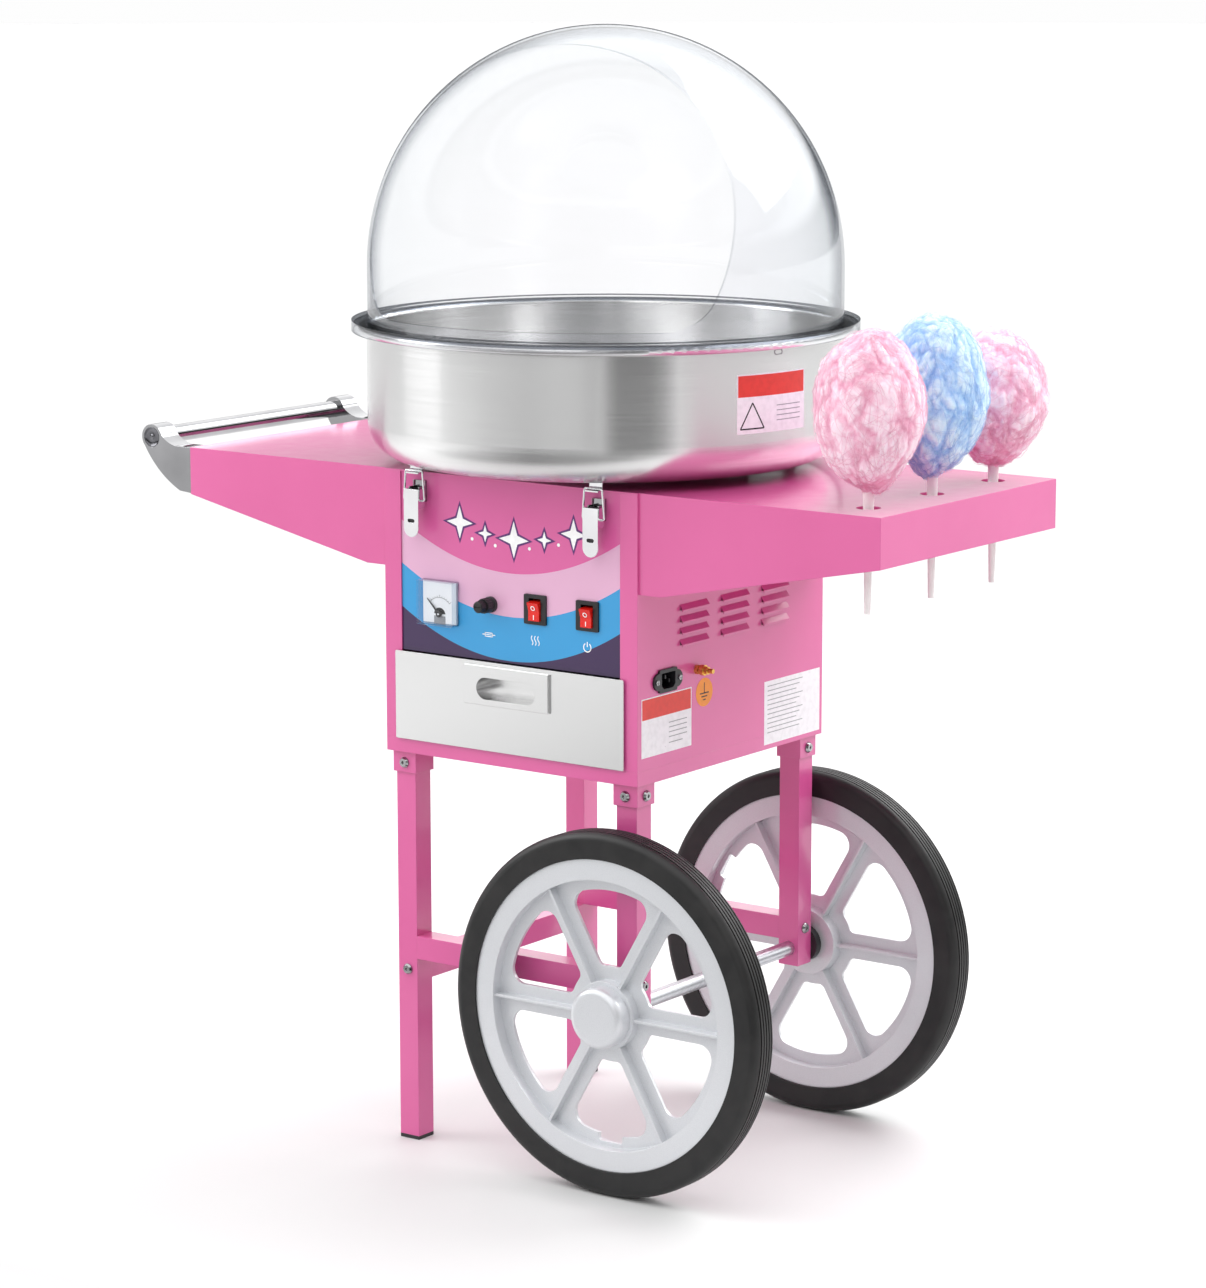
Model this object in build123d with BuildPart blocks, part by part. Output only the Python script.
from build123d import *
import os
from math import asin, cos, radians, sin, sqrt

# Cotton candy machine on a two-wheeled cart. Millimetres, +Z up, floor at z = 0.
# The control panel faces -Y, and the wheels and the cone tray are on the +X side.
# Everything is laid out about the spinner's axis (x = 0, y = 0), and save() then
# moves each piece so that the origin is under the middle of the whole machine.

# Cabinet
sheet = 1.5
cab_w, cab_d = 325.0, 340.0
cab_bottom, cab_top = 425.0, 725.0
base_height = 15.0
post_w = 21.5
panel_bottom = 535.0
seat_height = 8.0

# Trays
tray_depth = 335.0
left_tray_l, right_tray_l = 272.0, 285.0
skirt_inner, skirt_outer, skirt_flat = 103.0, 51.0, 26.0
cone_x, cone_pitch, cone_hole_d, candy_r = 402.0, 118.0, 24.5, 56.0

# Push handle
handle_r, collar_r = 9.5, 14.0
handle_out, handle_z = 55.5, 732.0
bracket_w = 26.0

# Legs and frame
tube, wall = 25.0, 1.5
leg_x, leg_y = 143.5, 149.5
socket, socket_wall, socket_drop = 30.0, 2.0, 23.0
cap_h, right_leg_bottom = 4.0, 172.0
bar_z, left_bar_z = 212.5, 187.5
bolt_r, bolt_head_r, socket_bolt_z = 2.9, 5.8, 412.5

# Wheels
tyre_r, rim_r, tyre_w = 190.5, 163.0, 34.0
wheel_y = 188.5
axle_r, running = 8.0, 0.05
bush_r, hub_r, hub_cap_r = 13.0, 36.0, 32.0

# Bowl and dome
bowl_r, bowl_wall, bowl_floor, bowl_rim_z, bowl_corner = 250.0, 1.5, 733.0, 869.0, 38.0
dome_r, dome_wall, dome_flange_r, dome_spring_z = 249.0, 3.0, 266.0, 932.0
dome_turn = 11.0
door_half_w, door_half_h, door_z, door_bottom = 203.0, 188.0, 975.0, 886.0

# Drawer
drawer_w, drawer_front_w = 274.0, 295.0
drawer_bottom, drawer_top, drawer_back = 443.5, 528.0, 105.0
front_bottom, front_top = 440.5, 534.0
drawer_wall = 1.2
pull_w, pull_h, pull_z = 110.0, 42.0, 509.5
slot_l, slot_h, slot_z = 76.0, 23.0, 506.5

# Controls, as (x, z) on the panel
meter_at, fuse_at = (-89.0, 590.0), (-24.0, 594.0)
switches = {"heat": (34.0, 594.5), "power": (100.0, 594.5)}
rocker_tilt, rocker_depth = 8.0, 8.5
inlet_at, ground_at = (-119.0, 528.0), (-66.0, 531.0)

# Latches
latch_x, latch_pivot_z, latch_pivot_out = 115.0, 705.0, 7.0
bail_pin_out, bail_pin_z, bail_top_z, wire_r = 9.5, 696.0, 727.0, 1.2

# Spinner
shaft_r, spinner_r, spinner_z = 5.0, 62.0, 741.0

face_y = -cab_d / 2
panel_y = face_y + sheet
shell_bottom, shell_top = cab_bottom + base_height, cab_top - sheet
left_end = -cab_w / 2 - left_tray_l
right_end = max(cab_w / 2 + right_tray_l, cone_x + candy_r)
handle_x = left_end - handle_out
origin_x = (handle_x - collar_r + right_end) / 2


def save(piece, name):
    """Write one piece to its own STEP file, about the machine's own origin."""
    solid = piece.part.moved(Location((-origin_x, 0, 0)))
    solid.label = name
    export_step(solid, f"parts/{name}.step")


def square_tube(plane, size, thickness, length):
    """A hollow square tube from plane, along the plane's normal."""
    with BuildSketch(plane) as section:
        Rectangle(size, size)
        Rectangle(size - 2 * thickness, size - 2 * thickness, mode=Mode.SUBTRACT)
    extrude(section.sketch, amount=length)


def cylinder(plane, radius, length, mode=Mode.ADD):
    """A round bar from plane, along the plane's normal."""
    with BuildSketch(plane) as section:
        Circle(radius)
    extrude(section.sketch, amount=length, mode=mode)


def block(low, high, mode=Mode.ADD):
    """A box between two corners."""
    centre = tuple((a + b) / 2 for a, b in zip(low, high))
    with Locations(centre):
        Box(*[b - a for a, b in zip(low, high)], mode=mode)


def front_plane(x, y, z):
    """A plane at (x, y, z) that faces the front, with local y up."""
    return Plane(origin=(x, y, z), x_dir=(1, 0, 0), z_dir=(0, -1, 0))


def right_plane(x, y, z):
    """A plane at (x, y, z) that faces +X, with local x along +Y."""
    return Plane(origin=(x, y, z), x_dir=(0, 1, 0), z_dir=(1, 0, 0))


def up_plane(x, y, z):
    """A level plane at (x, y, z)."""
    return Plane(origin=(x, y, z))


os.makedirs("parts", exist_ok=True)

# ---------------------------------------------------------------- cabinet
louvre_w, louvre_h, louvre_out = 46.0, 4.0, 4.0
louvre_columns, louvre_rows = (-72.0, 1.5, 76.0), (562.0, 574.0, 586.0, 598.0)

with BuildPart() as cabinet_shell:
    with BuildSketch(Plane.XY.offset(shell_bottom)):
        Rectangle(cab_w, cab_d)
        Rectangle(cab_w - 2 * sheet, cab_d - 2 * sheet, mode=Mode.SUBTRACT)
    extrude(amount=shell_top - shell_bottom)
    block(
        (-cab_w / 2 + post_w, face_y - 1, shell_bottom),
        (cab_w / 2 - post_w, face_y + sheet, shell_top),
        Mode.SUBTRACT,
    )
    with BuildSketch(right_plane(cab_w / 2, 0, 0)):
        with Locations(*[(y, z) for y in louvre_columns for z in louvre_rows]):
            Rectangle(louvre_w, louvre_h)
        with Locations(inlet_at):
            Rectangle(28, 21)
        with Locations(ground_at):
            Circle(2.7)
        with Locations(*[(inlet_at[0] + side * 20, inlet_at[1]) for side in (-1, 1)]):
            Circle(1.7)
    extrude(amount=-sheet, mode=Mode.SUBTRACT)
    # Each louvre is a pressed hood that leans out over its slot and opens downwards.
    for y in louvre_columns:
        with BuildSketch(Plane.XZ.offset(-(y + louvre_w / 2 + 1))):
            for z in louvre_rows:
                with BuildLine():
                    x = cab_w / 2
                    hood = [(x - 0.2, z + 4.5), (x, z + 4.5), (x + louvre_out, z - 1),
                            (x + louvre_out, z - 3), (x + louvre_out - 1, z - 3),
                            (x + louvre_out - 1, z - 1), (x - 0.2, z + 2.9)]
                    Polyline(*hood, close=True)
                make_face()
        extrude(amount=louvre_w + 2)
save(cabinet_shell, "cabinet_shell")

with BuildPart() as base_pan:
    block((-cab_w / 2, face_y, cab_bottom), (cab_w / 2, -face_y, shell_bottom))
    block(
        (-cab_w / 2 + sheet, face_y + sheet, cab_bottom + sheet),
        (cab_w / 2 - sheet, -face_y - sheet, shell_bottom),
        Mode.SUBTRACT,
    )
save(base_pan, "base_pan")

with BuildPart() as top_plate:
    block((-cab_w / 2, face_y, shell_top), (cab_w / 2, -face_y, cab_top))
    cylinder(Plane.XY.offset(cab_top), 150, seat_height)
    cylinder(Plane.XY.offset(cab_top), 110, seat_height, Mode.SUBTRACT)
    cylinder(Plane.XY.offset(shell_top), 42, sheet, Mode.SUBTRACT)
save(top_plate, "top_plate")

with BuildPart() as front_panel:
    block((-150, panel_y, panel_bottom), (150, panel_y + sheet, shell_top))
    with BuildSketch(Plane.XZ.offset(-panel_y)):
        with Locations(meter_at):
            Circle(18.5)
        with Locations(fuse_at):
            Circle(6.2)
        with Locations(*switches.values()):
            Rectangle(22, 28.5)
    extrude(amount=-sheet, mode=Mode.SUBTRACT)
save(front_panel, "front_panel")

# ---------------------------------------------------------------- drawer
box_front = face_y - 0.5 - drawer_wall
plate_front = box_front - sheet

with BuildPart() as drawer_box:
    block((-drawer_w / 2, box_front, drawer_bottom), (drawer_w / 2, drawer_back, drawer_top))
    block(
        (-drawer_w / 2 + drawer_wall, box_front + drawer_wall, drawer_bottom + drawer_wall),
        (drawer_w / 2 - drawer_wall, drawer_back - drawer_wall, drawer_top),
        Mode.SUBTRACT,
    )
    with BuildSketch(front_plane(0, box_front, slot_z)):
        SlotOverall(slot_l + 5, slot_h + 5)
    extrude(amount=-drawer_wall, mode=Mode.SUBTRACT)
save(drawer_box, "drawer_box")

with BuildPart() as drawer_front:
    block(
        (-drawer_front_w / 2, plate_front, front_bottom),
        (drawer_front_w / 2, box_front, front_top),
    )
    with BuildSketch(front_plane(0, plate_front, slot_z)):
        SlotOverall(slot_l + 5, slot_h + 5)
    extrude(amount=-sheet, mode=Mode.SUBTRACT)
    fillet(drawer_front.edges().filter_by(Axis.Y).filter_by(GeomType.LINE), 1.5)
save(drawer_front, "drawer_front")

# The pull is a raised plate with a slot, and a cup behind the slot for the fingers.
pull_out, cup_depth, cup_wall = 3.0, 20.0, 1.2
with BuildPart() as drawer_pull:
    with BuildSketch(front_plane(0, plate_front, pull_z)):
        RectangleRounded(pull_w, pull_h, 2)
    extrude(amount=pull_out)
    chamfer(drawer_pull.faces().sort_by(Axis.Y)[0].edges(), 1)
    with BuildSketch(front_plane(0, plate_front, slot_z)):
        SlotOverall(slot_l + 2 * cup_wall, slot_h + 2 * cup_wall)
    extrude(amount=-cup_depth)
    with BuildSketch(front_plane(0, plate_front - pull_out, slot_z)):
        SlotOverall(slot_l, slot_h)
    extrude(amount=-(pull_out + cup_depth - cup_wall), mode=Mode.SUBTRACT)
save(drawer_pull, "drawer_pull")

runner_top = drawer_bottom - 0.3
with BuildPart() as drawer_runners:
    for side in (-1, 1):
        outer, guide = side * (cab_w / 2 - sheet), side * (drawer_w / 2 + 1.2)
        xs = sorted((outer, side * (drawer_w / 2 - 11)))
        block((xs[0], face_y + sheet, runner_top - sheet), (xs[1], -face_y - sheet, runner_top))
        xs = sorted((guide, guide + side * sheet))
        block((xs[0], face_y + sheet, runner_top), (xs[1], -face_y - sheet, runner_top + 17))
save(drawer_runners, "drawer_runners")


# ---------------------------------------------------------------- trays
def tray(side, length):
    """A folded shelf, open below, whose skirt tapers towards its outer end."""
    inner, outer = side * cab_w / 2, side * (cab_w / 2 + length)
    with BuildPart() as shelf:
        with BuildSketch(Plane.XZ):
            with BuildLine():
                Polyline(
                    (inner, cab_top), (outer, cab_top), (outer, cab_top - skirt_outer),
                    (inner + side * skirt_flat, cab_top - skirt_inner),
                    (inner, cab_top - skirt_inner), close=True,
                )
            make_face()
        extrude(amount=tray_depth / 2, both=True)
        xs = sorted((inner + side * sheet, outer - side * sheet))
        half = tray_depth / 2 - sheet
        block((xs[0], -half, cab_top - skirt_inner - 1), (xs[1], half, cab_top - sheet), Mode.SUBTRACT)
        if side > 0:
            with BuildSketch(Plane.XY.offset(cab_top)):
                with Locations(*[(cone_x, k * cone_pitch) for k in (-1, 0, 1)]):
                    Circle(cone_hole_d / 2)
            extrude(amount=-sheet, mode=Mode.SUBTRACT)
    return shelf


save(tray(-1, left_tray_l), "left_tray")
save(tray(1, right_tray_l), "right_tray")

# ---------------------------------------------------------------- handle
tube_end = tray_depth / 2 - 2.0
with BuildPart() as handle_tube:
    cylinder(front_plane(handle_x, tube_end, handle_z), handle_r, 2 * tube_end)
    cylinder(front_plane(handle_x, tube_end, handle_z), handle_r - wall, 2 * tube_end, Mode.SUBTRACT)
save(handle_tube, "handle_tube")

# Each bracket is a cast arm that rises from the tray's end wall to a collar round the tube.
with BuildPart() as handle_brackets:
    for side in (-1, 1):
        outer_y = side * tray_depth / 2
        with BuildSketch(Plane.XZ.offset(-outer_y)):
            with BuildLine():
                low = (left_end - 16, cab_top - skirt_outer + 2.5)
                ring_left = (handle_x - collar_r + 0.6, handle_z - 4)
                ring_right = (handle_x + collar_r - 0.8, handle_z + 4)
                top = (left_end - 18, cab_top - 0.5)
                Line((left_end, cab_top - skirt_outer + 1), low)
                ThreePointArc(low, (handle_x + 5, handle_z - 30), ring_left)
                Line(ring_left, ring_right)
                ThreePointArc(ring_right, (left_end - 31, cab_top + 2.5), top)
                Line(top, (left_end, cab_top - 0.5))
                Line((left_end, cab_top - 0.5), (left_end, cab_top - skirt_outer + 1))
            make_face()
            with Locations((handle_x, handle_z)):
                Circle(collar_r)
        extrude(amount=side * bracket_w)
        inner_plane = front_plane(handle_x, outer_y - side * bracket_w, handle_z)
        bore = bracket_w - 2.0
        cylinder(inner_plane, handle_r + running, -side * bore, Mode.SUBTRACT)
        cylinder(front_plane(handle_x, outer_y, handle_z), collar_r - 3, side * 1.2, Mode.SUBTRACT)
save(handle_brackets, "handle_brackets")

# ---------------------------------------------------------------- frame
leg_bottoms = {-1: cap_h, 1: right_leg_bottom}
leg_top = cab_bottom - 0.2


def bolt_places():
    """Every frame bolt as (x, y, z, direction that the head faces)."""
    places = []
    for side_x in (-1, 1):
        for side_y in (-1, 1):
            x, y = side_x * leg_x, side_y * leg_y
            places.append((x + side_x * socket / 2, y, socket_bolt_z, (side_x, 0, 0)))
            places.append((x, y + side_y * socket / 2, socket_bolt_z, (0, side_y, 0)))
            places.append((x + side_x * tube / 2, y, bar_z, (side_x, 0, 0)))
            if side_x < 0:
                places.append((x, y + side_y * tube / 2, left_bar_z, (0, side_y, 0)))
    return places


def bolt_plane(place, inwards=0.0):
    """A plane at a bolt's seat, facing the way its head does."""
    x, y, z, way = place
    return Plane(origin=(x - inwards * way[0], y - inwards * way[1], z), z_dir=way)


def drill_bolts():
    """The bolts' holes in whatever piece is being built."""
    for place in bolt_places():
        cylinder(bolt_plane(place, 6), bolt_r + 0.1, 8, Mode.SUBTRACT)


def leg(side_x, side_y):
    bottom = leg_bottoms[side_x]
    square_tube(up_plane(side_x * leg_x, side_y * leg_y, bottom), tube, wall, leg_top - bottom)


with BuildPart() as left_legs:
    for side_y in (-1, 1):
        leg(-1, side_y)
    drill_bolts()
save(left_legs, "left_legs")

with BuildPart() as right_legs:
    for side_y in (-1, 1):
        leg(1, side_y)
    drill_bolts()
    cylinder(front_plane(leg_x, cab_d / 2, tyre_r), axle_r + running, cab_d, Mode.SUBTRACT)
save(right_legs, "right_legs")

with BuildPart() as leg_sockets:
    for x in (-leg_x, leg_x):
        for y in (-leg_y, leg_y):
            square_tube(up_plane(x, y, cab_bottom), socket, socket_wall, -socket_drop)
    drill_bolts()
save(leg_sockets, "leg_sockets")

with BuildPart() as foot_caps:
    for y in (-leg_y, leg_y):
        with BuildSketch(up_plane(-leg_x, y, 0)):
            Rectangle(tube, tube)
        extrude(amount=cap_h)
        with BuildSketch(up_plane(-leg_x, y, cap_h)):
            Rectangle(tube - 2 * wall - 0.2, tube - 2 * wall - 0.2)
        extrude(amount=12)
save(foot_caps, "foot_caps")

with BuildPart() as crossbars:
    span = 2 * leg_x - tube
    for y in (-leg_y, leg_y):
        square_tube(right_plane(-span / 2, y, bar_z), tube, wall, span)
    depth = 2 * leg_y - tube
    square_tube(front_plane(-leg_x, depth / 2, left_bar_z), tube, wall, depth)
save(crossbars, "crossbars")

with BuildPart() as fasteners:
    for place in bolt_places():
        cylinder(bolt_plane(place), bolt_head_r, 1.2)
        with BuildSketch(bolt_plane(place, -1.2)):
            Circle(bolt_head_r)
        extrude(amount=2.2, taper=35)
        with BuildSketch(bolt_plane(place, -3.4)):
            RegularPolygon(2, 6)
        extrude(amount=-1.8, mode=Mode.SUBTRACT)
        cylinder(bolt_plane(place), bolt_r, -8)
    for side in (-1, 1):
        screw = right_plane(cab_w / 2 + 2.5, inlet_at[0] + side * 20, inlet_at[1])
        cylinder(screw, 2.8, 1.4)
        cylinder(screw, 1.5, -9)
        with BuildSketch(screw.offset(1.4)):
            Rectangle(0.8, 6)
            Rectangle(6, 0.8)
        extrude(amount=-0.7, mode=Mode.SUBTRACT)
save(fasteners, "fasteners")

# ---------------------------------------------------------------- wheels
axle_half = wheel_y + 20
with BuildPart() as axle:
    cylinder(front_plane(leg_x, axle_half, tyre_r), axle_r, 2 * axle_half)
    chamfer(axle.edges().filter_by(GeomType.CIRCLE), 1)
save(axle, "axle")

bush_in = leg_y + tube / 2
with BuildPart() as wheel_bushings:
    for side in (-1, 1):
        plane = Plane(origin=(leg_x, side * bush_in, tyre_r), x_dir=(1, 0, 0), z_dir=(0, side, 0))
        cylinder(plane, 20, 9)
        cylinder(plane, bush_r, wheel_y + 13 - bush_in)
        cylinder(plane, axle_r + running, 60, Mode.SUBTRACT)
save(wheel_bushings, "wheel_bushings")

spokes, web_half, web_t, rib_w, rib_t = 6, 14.0, 4.0, 3.0, 24.0
rim_w, rim_inner, window_out, window_in = 30.0, 141.0, 129.0, 50.0
notch_w, notch_depth = 30.0, 7.0


def polar(radius, angle):
    return (radius * cos(angle), radius * sin(angle))


def window(notched):
    """One of the openings between two spokes, with a notch for the valve if notched."""
    turn = radians(360 / spokes)
    outer, inner = asin(web_half / window_out), asin(web_half / window_in)
    with BuildSketch() as hole:
        with BuildLine():
            a, b = polar(window_out, outer), polar(window_out, turn - outer)
            c, d = polar(window_in, turn - inner), polar(window_in, inner)
            ThreePointArc(a, polar(window_out, turn / 2), b)
            Line(b, c)
            ThreePointArc(c, polar(window_in, turn / 2), d)
            Line(d, a)
        make_face()
        fillet(hole.vertices().group_by(SortBy.DISTANCE)[0], 8)
        fillet(hole.vertices().group_by(SortBy.DISTANCE)[-1], 15)
        if notched:
            with Locations(Rotation(0, 0, 180 / spokes) * Pos(window_out, 0, 0)):
                RectangleRounded(2 * notch_depth, notch_w, 3)
    return hole.sketch


def wheel(side, name, valve):
    """One wheel, out along Y on that side, with its valve in window number valve."""
    plane = Plane(origin=(leg_x, side * wheel_y, tyre_r), x_dir=(1, 0, 0), z_dir=(0, side, 0))

    with BuildPart() as tyre:
        cylinder(plane.offset(-tyre_w / 2), tyre_r, tyre_w)
        cylinder(plane.offset(-tyre_w / 2), rim_r, tyre_w, Mode.SUBTRACT)
        fillet(tyre.edges().filter_by(GeomType.CIRCLE).group_by(SortBy.RADIUS)[-1], 9)
        for k in (-2, -1, 0, 1, 2):
            with BuildSketch(plane.offset(4.5 * k - 0.9)):
                Circle(tyre_r + 2)
                Circle(tyre_r - 1.6, mode=Mode.SUBTRACT)
            extrude(amount=1.8, mode=Mode.SUBTRACT)
    save(tyre, f"{name}_tyre")

    with BuildPart() as rim:
        with BuildSketch(plane.offset(-web_t / 2)):
            Circle(rim_inner + 1)
            for k in range(spokes):
                add(window(k == valve).rotate(Axis.Z, k * 360 / spokes), mode=Mode.SUBTRACT)
        extrude(amount=web_t)
        with BuildSketch(plane.offset(-rib_t / 2)):
            with PolarLocations((rim_inner + hub_r) / 2, spokes):
                Rectangle(rim_inner - hub_r + 4, rib_w)
        extrude(amount=rib_t)
        with BuildSketch(plane.offset(-rim_w / 2)):
            Circle(rim_r)
            Circle(rim_inner, mode=Mode.SUBTRACT)
        extrude(amount=rim_w)
        cylinder(plane.offset(-tyre_w / 2), hub_r, 30)
        cylinder(plane.offset(-tyre_w / 2), bush_r + 0.08, 40, Mode.SUBTRACT)
    save(rim, f"{name}_rim")

    cap_foot = plane.offset(13)
    with BuildPart() as cap:
        cylinder(cap_foot, hub_cap_r, 18)
        far = cap.faces().sort_by(Axis.Y)[0 if side < 0 else -1]
        fillet(far.edges(), 7)
        cylinder(cap_foot, hub_cap_r - 8, 14, Mode.SUBTRACT)
    save(cap, f"{name}_hub_cap")


wheel(-1, "front", 4)
wheel(1, "rear", 3)

# ---------------------------------------------------------------- bowl
bead_r = 5.0
with BuildPart() as bowl:
    with BuildSketch(Plane.XZ):
        with BuildLine():
            Line((46, bowl_floor), (bowl_r - bowl_corner, bowl_floor))
            RadiusArc((bowl_r - bowl_corner, bowl_floor), (bowl_r, bowl_floor + bowl_corner), -bowl_corner)
            Line((bowl_r, bowl_floor + bowl_corner), (bowl_r, bowl_rim_z))
            Line((bowl_r, bowl_rim_z), (bowl_r - bowl_wall, bowl_rim_z))
            inner_corner = bowl_corner - bowl_wall
            Line((bowl_r - bowl_wall, bowl_rim_z), (bowl_r - bowl_wall, bowl_floor + bowl_corner))
            RadiusArc(
                (bowl_r - bowl_wall, bowl_floor + bowl_corner),
                (bowl_r - bowl_corner, bowl_floor + bowl_wall), inner_corner,
            )
            Line((bowl_r - bowl_corner, bowl_floor + bowl_wall), (46, bowl_floor + bowl_wall))
            Line((46, bowl_floor + bowl_wall), (46, bowl_floor))
        make_face()
    revolve(axis=Axis.Z)
    with BuildSketch(Plane.XZ):
        with Locations((bowl_r + bead_r - 0.7, bowl_rim_z)):
            Circle(bead_r)
    revolve(axis=Axis.Z)
    cylinder(Plane.XY.offset(bowl_floor), 47.5, 6)
    cylinder(Plane.XY.offset(bowl_floor), 46, 6, Mode.SUBTRACT)
save(bowl, "bowl")

# A catch is a strip below the bowl with a lip that the latch's wire pulls down on.
catch_w, lip_z = 16.0, 724.0
with BuildPart() as bowl_catches:
    for side in (-1, 1):
        for x in (-latch_x, latch_x):
            ys = sorted((side * (cab_d / 2 + 4), side * (cab_d / 2 + 5.5)))
            block((x - catch_w / 2, ys[0], lip_z), (x + catch_w / 2, ys[1], bowl_floor))
            ys = sorted((side * (cab_d / 2 + 4), side * (cab_d / 2 + 13)))
            block((x - catch_w / 2, ys[0], lip_z), (x + catch_w / 2, ys[1], lip_z + 1.5))
save(bowl_catches, "bowl_catches")

# ---------------------------------------------------------------- dome
flange_bottom = bowl_rim_z + bead_r + 0.3
with BuildPart() as dome:
    with BuildSketch(Plane.XZ):
        with BuildLine():
            inner_r = dome_r - dome_wall
            crown, lip_r = dome_spring_z + dome_r, dome_flange_r - 2.5
            across = sqrt(0.5)
            Polyline(
                (inner_r, dome_spring_z), (inner_r, flange_bottom), (lip_r, flange_bottom),
                (lip_r, flange_bottom - 8), (dome_flange_r, flange_bottom - 8),
                (dome_flange_r, flange_bottom + dome_wall), (dome_r, flange_bottom + dome_wall),
                (dome_r, dome_spring_z),
            )
            ThreePointArc(
                (dome_r, dome_spring_z),
                (dome_r * across, dome_spring_z + dome_r * across), (0, crown),
            )
            Line((0, crown), (0, crown - dome_wall))
            ThreePointArc(
                (0, crown - dome_wall),
                (inner_r * across, dome_spring_z + inner_r * across), (inner_r, dome_spring_z),
            )
        make_face()
    revolve(axis=Axis.Z)
    way = (sin(radians(dome_turn)), -cos(radians(dome_turn)), 0)
    across_way = (cos(radians(dome_turn)), sin(radians(dome_turn)), 0)
    with BuildSketch(Plane(origin=(0, 0, 0), x_dir=across_way, z_dir=way)) as doorway:
        with Locations((0, door_z)):
            Ellipse(door_half_w, door_half_h)
        with Locations((0, door_bottom - 200)):
            Rectangle(600, 400, mode=Mode.SUBTRACT)
        fillet(doorway.vertices(), 40)
    extrude(amount=300, mode=Mode.SUBTRACT)
save(dome, "dome")


# ---------------------------------------------------------------- latches
def latch_plane(x, side, out):
    """A plane facing away from the cabinet, out from it, whose local y is up."""
    return Plane(origin=(x, side * (cab_d / 2 + out), 0), x_dir=(-side, 0, 0), z_dir=(0, side, 0))


def cross_pin(x, side, out, z, radius, half, mode=Mode.ADD):
    """A pin along X through a latch at x."""
    cylinder(right_plane(x - half, side * (cab_d / 2 + out), z), radius, 2 * half, mode)


def latch_box(x, side, across, out, up, mode=Mode.ADD):
    """A box of a latch: its ranges across the latch, out from the cabinet, and in z."""
    ys = sorted(side * (cab_d / 2 + value) for value in out)
    block((x + across[0], ys[0], up[0]), (x + across[1], ys[1], up[1]), mode)


with BuildPart() as latch_bases:
    for side in (-1, 1):
        back = -sheet if side < 0 else 0.0
        for x in (-latch_x, latch_x):
            latch_box(x, side, (-8, 8), (back, 1.5), (694, 716))
            for ear in (-7.0, 5.5):
                latch_box(x, side, (ear, ear + 1.5), (1.5, 10), (700, 710))
            cross_pin(x, side, latch_pivot_out, latch_pivot_z, wire_r + 0.08, 12, Mode.SUBTRACT)
save(latch_bases, "latch_bases")

lever_w, lever_bottom, lever_top = 19.0, 658.0, 708.0


def latch_lever(x, side):
    with BuildPart() as lever:
        with BuildSketch(latch_plane(x, side, 14)):
            with Locations((0, (lever_bottom + lever_top) / 2 + 4)):
                Rectangle(lever_w, lever_top - lever_bottom - 8)
            with Locations((0, lever_bottom + lever_w / 2)):
                Circle(lever_w / 2)
        extrude(amount=1.2)
        with BuildSketch(latch_plane(x, side, 14)):
            with Locations((0, lever_bottom + 17)):
                SlotOverall(9, 4)
        extrude(amount=1.2, mode=Mode.SUBTRACT)
        for flange in (-lever_w / 2, lever_w / 2 - 1.2):
            latch_box(x, side, (flange, flange + 1.2), (4.5, 14), (688, lever_top))
        cross_pin(x, side, latch_pivot_out, latch_pivot_z, wire_r, lever_w / 2)
        cross_pin(x, side, bail_pin_out, bail_pin_z, wire_r + 0.1, 12, Mode.SUBTRACT)
    return lever


def latch_bail(x, side):
    with BuildPart() as bail:
        inner, foot, head = lever_w / 2 - 1.3, lever_w / 2 + 4, lever_w / 2 + 1.5
        with BuildLine(latch_plane(x, side, bail_pin_out)):
            FilletPolyline(
                (inner, bail_pin_z), (foot, bail_pin_z), (head, bail_top_z),
                (-head, bail_top_z), (-foot, bail_pin_z), (-inner, bail_pin_z), radius=2.4,
            )
        start = Plane(
            origin=(x - side * inner, side * (cab_d / 2 + bail_pin_out), bail_pin_z),
            z_dir=(-side, 0, 0),
        )
        with BuildSketch(start):
            Circle(wire_r)
        sweep()
    return bail


for place, x, side in (
    ("front_left", -latch_x, -1), ("front_right", latch_x, -1),
    ("rear_left", -latch_x, 1), ("rear_right", latch_x, 1),
):
    save(latch_lever(x, side), f"latch_lever_{place}")
    save(latch_bail(x, side), f"latch_bail_{place}")

# ---------------------------------------------------------------- controls
meter_x, meter_z = meter_at
meter_size, meter_depth, dial_t, needle_z = 47.0, 12.5, 3.0, meter_z - 12
with BuildPart() as meter_window:
    with BuildSketch(front_plane(meter_x, panel_y, meter_z)):
        RectangleRounded(meter_size, meter_size, 1.5)
    extrude(amount=meter_depth)
    with BuildSketch(front_plane(meter_x, panel_y, meter_z)):
        Rectangle(meter_size - 3, meter_size - 3)
    extrude(amount=meter_depth - 1.5, mode=Mode.SUBTRACT)
save(meter_window, "meter_window")

with BuildPart() as meter_case:
    with BuildSketch(front_plane(meter_x, panel_y, meter_z)):
        Rectangle(meter_size - 3.4, meter_size - 3.4)
    extrude(amount=dial_t)
    cylinder(front_plane(meter_x, panel_y, meter_z), 18, -22)
    cylinder(front_plane(meter_x, panel_y - dial_t, needle_z), 1.0, 3.2)
save(meter_case, "meter_case")

with BuildPart() as meter_needle:
    needle_plane = front_plane(meter_x, panel_y - dial_t - 0.8, needle_z)
    cylinder(needle_plane, 3.5, 1.8)
    with BuildSketch(needle_plane.offset(0.4)):
        with BuildLine():
            Polyline((0.8, 0.8), (-0.8, -0.8), (-15.5, 15.0), (-15.0, 15.5), close=True)
        make_face()
    extrude(amount=0.7)
    cylinder(needle_plane, 1.08, 3, Mode.SUBTRACT)
save(meter_needle, "meter_needle")

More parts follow.
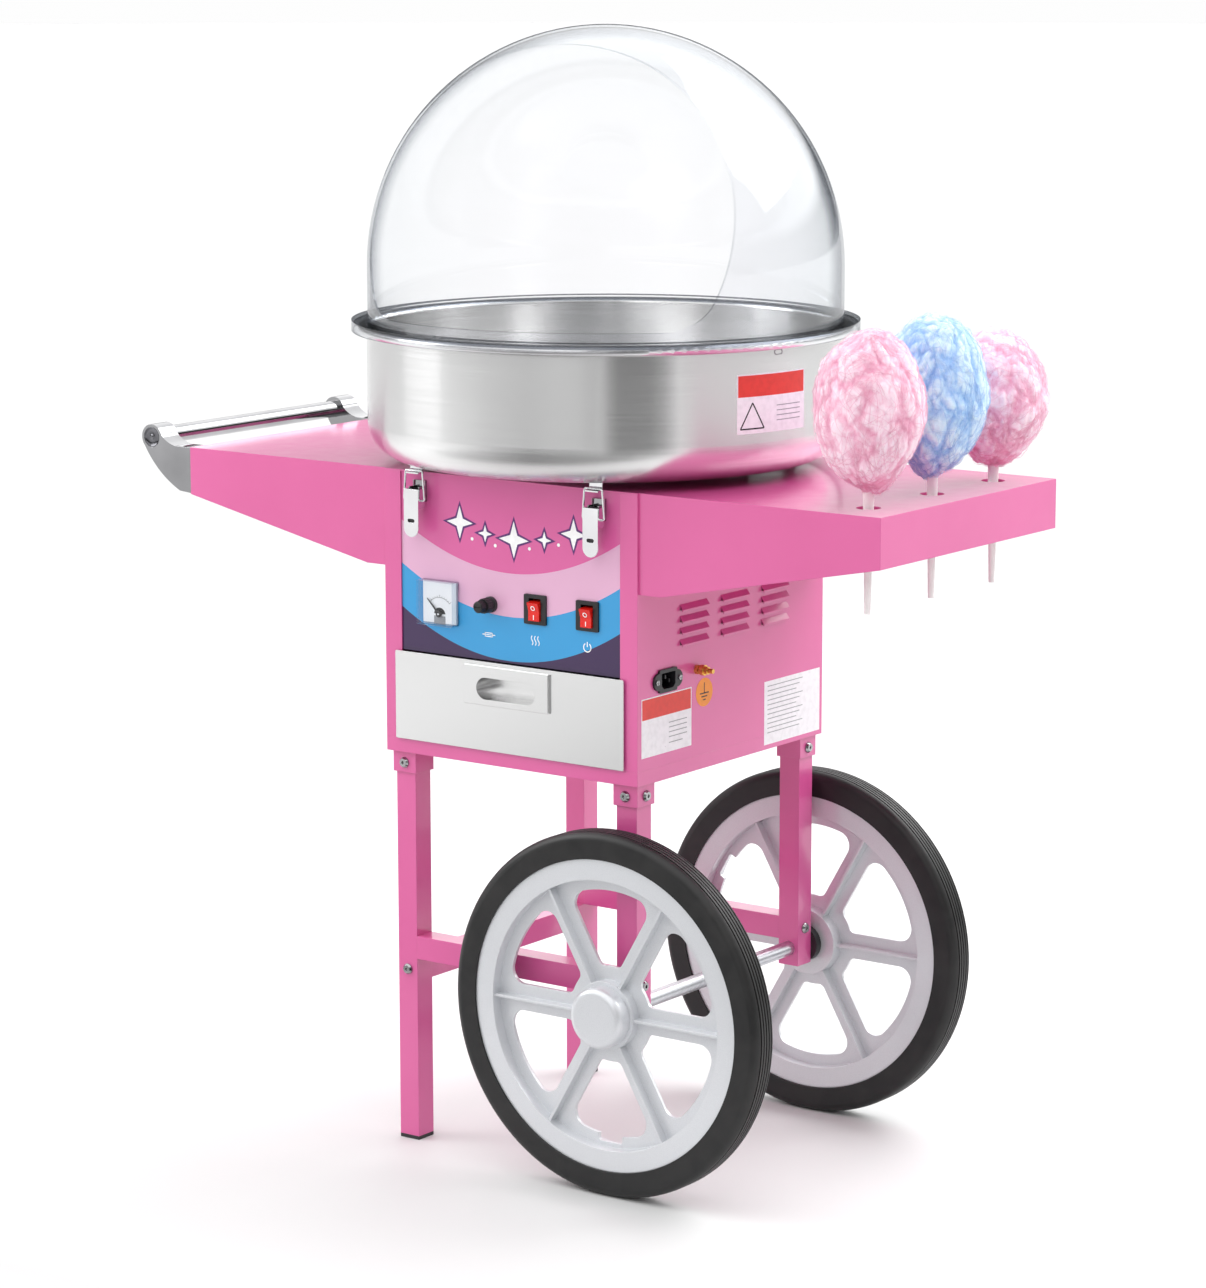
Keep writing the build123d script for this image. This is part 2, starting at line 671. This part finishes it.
fuse_x, fuse_z = fuse_at
with BuildPart() as fuse_holder:
    cylinder(front_plane(fuse_x, panel_y, fuse_z), 8.5, 4)
    chamfer(fuse_holder.faces().sort_by(Axis.Y)[0].edges(), 0.8)
    cylinder(front_plane(fuse_x, panel_y, fuse_z), 6, -28)
    cylinder(front_plane(fuse_x, panel_y - 4, fuse_z), 4.05, 24, Mode.SUBTRACT)
    cylinder(front_plane(fuse_x, panel_y + 20, fuse_z), 4.05, 24, Mode.SUBTRACT)
save(fuse_holder, "fuse_holder")

with BuildPart() as fuse_cap:
    cylinder(front_plane(fuse_x, panel_y - 4.3, fuse_z), 7.5, 10)
    cylinder(front_plane(fuse_x, panel_y - 14.3, fuse_z), 5.8, 9)
    chamfer(fuse_cap.faces().sort_by(Axis.Y)[0].edges(), 1)
    with BuildSketch(front_plane(fuse_x, panel_y - 23.3, fuse_z)):
        Rectangle(9, 1.2)
    extrude(amount=-1.5, mode=Mode.SUBTRACT)
    cylinder(front_plane(fuse_x, panel_y - 4.3, fuse_z), 4.0, -22)
save(fuse_cap, "fuse_cap")

bezel_w, bezel_h, well_w, well_h = 28.0, 31.0, 15.2, 23.0
with BuildPart() as switch_housings:
    for x, z in switches.values():
        with BuildSketch(front_plane(x, panel_y, z)):
            RectangleRounded(bezel_w, bezel_h, 1.5)
        extrude(amount=2.3)
        with BuildSketch(front_plane(x, panel_y, z)):
            Rectangle(21.5, 28)
        extrude(amount=-24)
        with BuildSketch(front_plane(x, panel_y - 2.3, z)):
            Rectangle(well_w, well_h)
        extrude(amount=-22, mode=Mode.SUBTRACT)
save(switch_housings, "switch_housings")


def rocker(x, z):
    """A rocker about a pivot behind the panel, tilted so that its lower end is in."""
    pivot_y = panel_y + rocker_depth
    with BuildPart() as key:
        with BuildSketch(right_plane(x - 6.8, pivot_y, z)):
            with BuildLine():
                Polyline((4, 8), (0, 9.6), (-14.5, 9.6), (-12.8, 0), (-14.5, -9.6), (0, -9.6),
                         (4, -8), close=True)
            make_face()
        extrude(amount=13.6)
    tilt = Axis(origin=(0, pivot_y, z), direction=(1, 0, 0))
    return key.part.rotate(tilt, rocker_tilt)


for name, (x, z) in switches.items():
    with BuildPart() as key:
        add(rocker(x, z))
    save(key, f"{name}_rocker")

inlet_y, inlet_z = inlet_at
with BuildPart() as power_inlet:
    with BuildSketch(right_plane(cab_w / 2, inlet_y, inlet_z)):
        SlotOverall(50, 18)
        RectangleRounded(31, 24, 2)
        with Locations((-20, 0), (20, 0)):
            Circle(1.6, mode=Mode.SUBTRACT)
    extrude(amount=2.5)
    with BuildSketch(right_plane(cab_w / 2, inlet_y, inlet_z)):
        Rectangle(27, 20)
    extrude(amount=-22)
    with BuildSketch(right_plane(cab_w / 2 + 2.5, inlet_y, inlet_z)):
        with BuildLine():
            Polyline((-12, 8.2), (12, 8.2), (12, -4.5), (8, -8.2), (-8, -8.2), (-12, -4.5), close=True)
        make_face()
    extrude(amount=-18, mode=Mode.SUBTRACT)
    with BuildSketch(right_plane(cab_w / 2 - 15.5, inlet_y, inlet_z)):
        with Locations((-7, -1.5), (7, -1.5), (0, 3)):
            Rectangle(2, 4)
    extrude(amount=14)
save(power_inlet, "power_inlet")

with BuildPart() as ground_post:
    post = right_plane(cab_w / 2, *ground_at)
    cylinder(post.offset(-4), 2.5, 25)
    with BuildSketch(post):
        RegularPolygon(5.2, 6)
    extrude(amount=4)
    cylinder(post.offset(6), 5.5, 5)
    cylinder(post.offset(11), 4, 4)
save(ground_post, "ground_post")

# ---------------------------------------------------------------- spinner
motor_r, motor_bottom, motor_top = 52.0, 588.0, 698.0
with BuildPart() as motor:
    cylinder(Plane.XY.offset(motor_bottom), motor_r, motor_top - motor_bottom)
    fillet(motor.edges().filter_by(GeomType.CIRCLE), 6)
    with BuildSketch(Plane.XY.offset(motor_top - 8)):
        with GridLocations(72, 72, 2, 2):
            Circle(9)
    extrude(amount=8)
    with BuildSketch(Plane.XY.offset(motor_top)):
        with GridLocations(72, 72, 2, 2):
            Circle(5)
    extrude(amount=shell_top - motor_top)
    cylinder(Plane.XY.offset(motor_top), shaft_r + running, -60, Mode.SUBTRACT)
save(motor, "motor")

with BuildPart() as spinner_shaft:
    cylinder(Plane.XY.offset(motor_top - 50), shaft_r, spinner_z + 30 - motor_top + 50)
save(spinner_shaft, "spinner_shaft")

ring_r = 17.0
with BuildPart() as slip_rings:
    cylinder(Plane.XY.offset(703), 14, 18)
    for z in (705, 714):
        cylinder(Plane.XY.offset(z), ring_r, 5)
    cylinder(Plane.XY.offset(703), shaft_r + 0.02, 18, Mode.SUBTRACT)
save(slip_rings, "slip_rings")

with BuildPart() as brush_holder:
    block((22, -8, motor_top), (40, 8, 721))
    for z in (705.5, 714.5):
        block((ring_r + 0.4, -3, z), (22, 3, z + 4))
save(brush_holder, "brush_holder")

band_z, band_h, band_r = spinner_z + 5, 40.0, 55.0
with BuildPart() as spinner_head:
    cylinder(Plane.XY.offset(spinner_z), spinner_r, 12)
    cylinder(Plane.XY.offset(band_z), spinner_r - 3, 7, Mode.SUBTRACT)
    cylinder(Plane.XY.offset(band_z), 14, band_h)
    cylinder(Plane.XY.offset(band_z + band_h), spinner_r + 2, 6)
    fillet(spinner_head.faces().sort_by(Axis.Z)[-1].edges(), 4)
    cylinder(Plane.XY.offset(spinner_z), shaft_r + 0.02, 30, Mode.SUBTRACT)
    with BuildSketch(Plane.XY.offset(band_z + band_h + 6)):
        RegularPolygon(9, 6)
    extrude(amount=7)
save(spinner_head, "spinner_head")

# The heater band is a slotted ring that the melted sugar flies out through.
with BuildPart() as heater_band:
    cylinder(Plane.XY.offset(band_z), band_r, band_h)
    cylinder(Plane.XY.offset(band_z), band_r - 2, band_h, Mode.SUBTRACT)
    with BuildSketch(Plane.XY.offset(band_z + 10)):
        with PolarLocations(band_r, 36):
            Rectangle(10, 3)
    extrude(amount=24, mode=Mode.SUBTRACT)
save(heater_band, "heater_band")

# ---------------------------------------------------------------- cones and candy
cone_bottom, cone_top, cone_low_r, cone_high_r, paper = 620.0, 865.0, 3.0, 8.4, 0.8


def cone_profile(grow, low, high):
    """The cone's side out to its surface plus grow, between two heights."""
    slope = (cone_high_r - cone_low_r) / (cone_top - cone_bottom)
    return [
        (0, low), (cone_low_r + grow + slope * (low - cone_bottom), low),
        (cone_low_r + grow + slope * (high - cone_bottom), high), (0, high),
    ]


def revolved(plane, points, mode=Mode.ADD):
    with BuildSketch(plane) as profile:
        with BuildLine():
            Polyline(*points, close=True)
        make_face()
    revolve(profile.sketch, axis=Axis(plane.origin, (0, 0, 1)), mode=mode)


candy = {
    "front": (-cone_pitch, 736.0, 902.0), "middle": (0.0, 739.0, 908.0),
    "rear": (cone_pitch, 737.0, 882.0),
}
for place, (y, low, high) in candy.items():
    stand = Plane(origin=(cone_x, y, 0), x_dir=(1, 0, 0), z_dir=(0, -1, 0))

    with BuildPart() as paper_cone:
        revolved(stand, cone_profile(0, cone_bottom, cone_top))
        revolved(stand, cone_profile(-paper, cone_bottom + 10, cone_top), Mode.SUBTRACT)
    save(paper_cone, f"cone_{place}")

    with BuildPart() as floss:
        with BuildSketch(stand):
            with BuildLine():
                middle = (low + high) / 2
                Line((0, low), (16, low))
                Spline((16, low), (candy_r, middle), (14, high), tangents=[(1, 0.25), (-1, 0.2)])
                Line((14, high), (0, high))
                Line((0, high), (0, low))
            make_face()
        revolve(axis=Axis(stand.origin, (0, 0, 1)))
        revolved(stand, cone_profile(0.2, low, cone_top + 0.2), Mode.SUBTRACT)
    save(floss, f"floss_{place}")
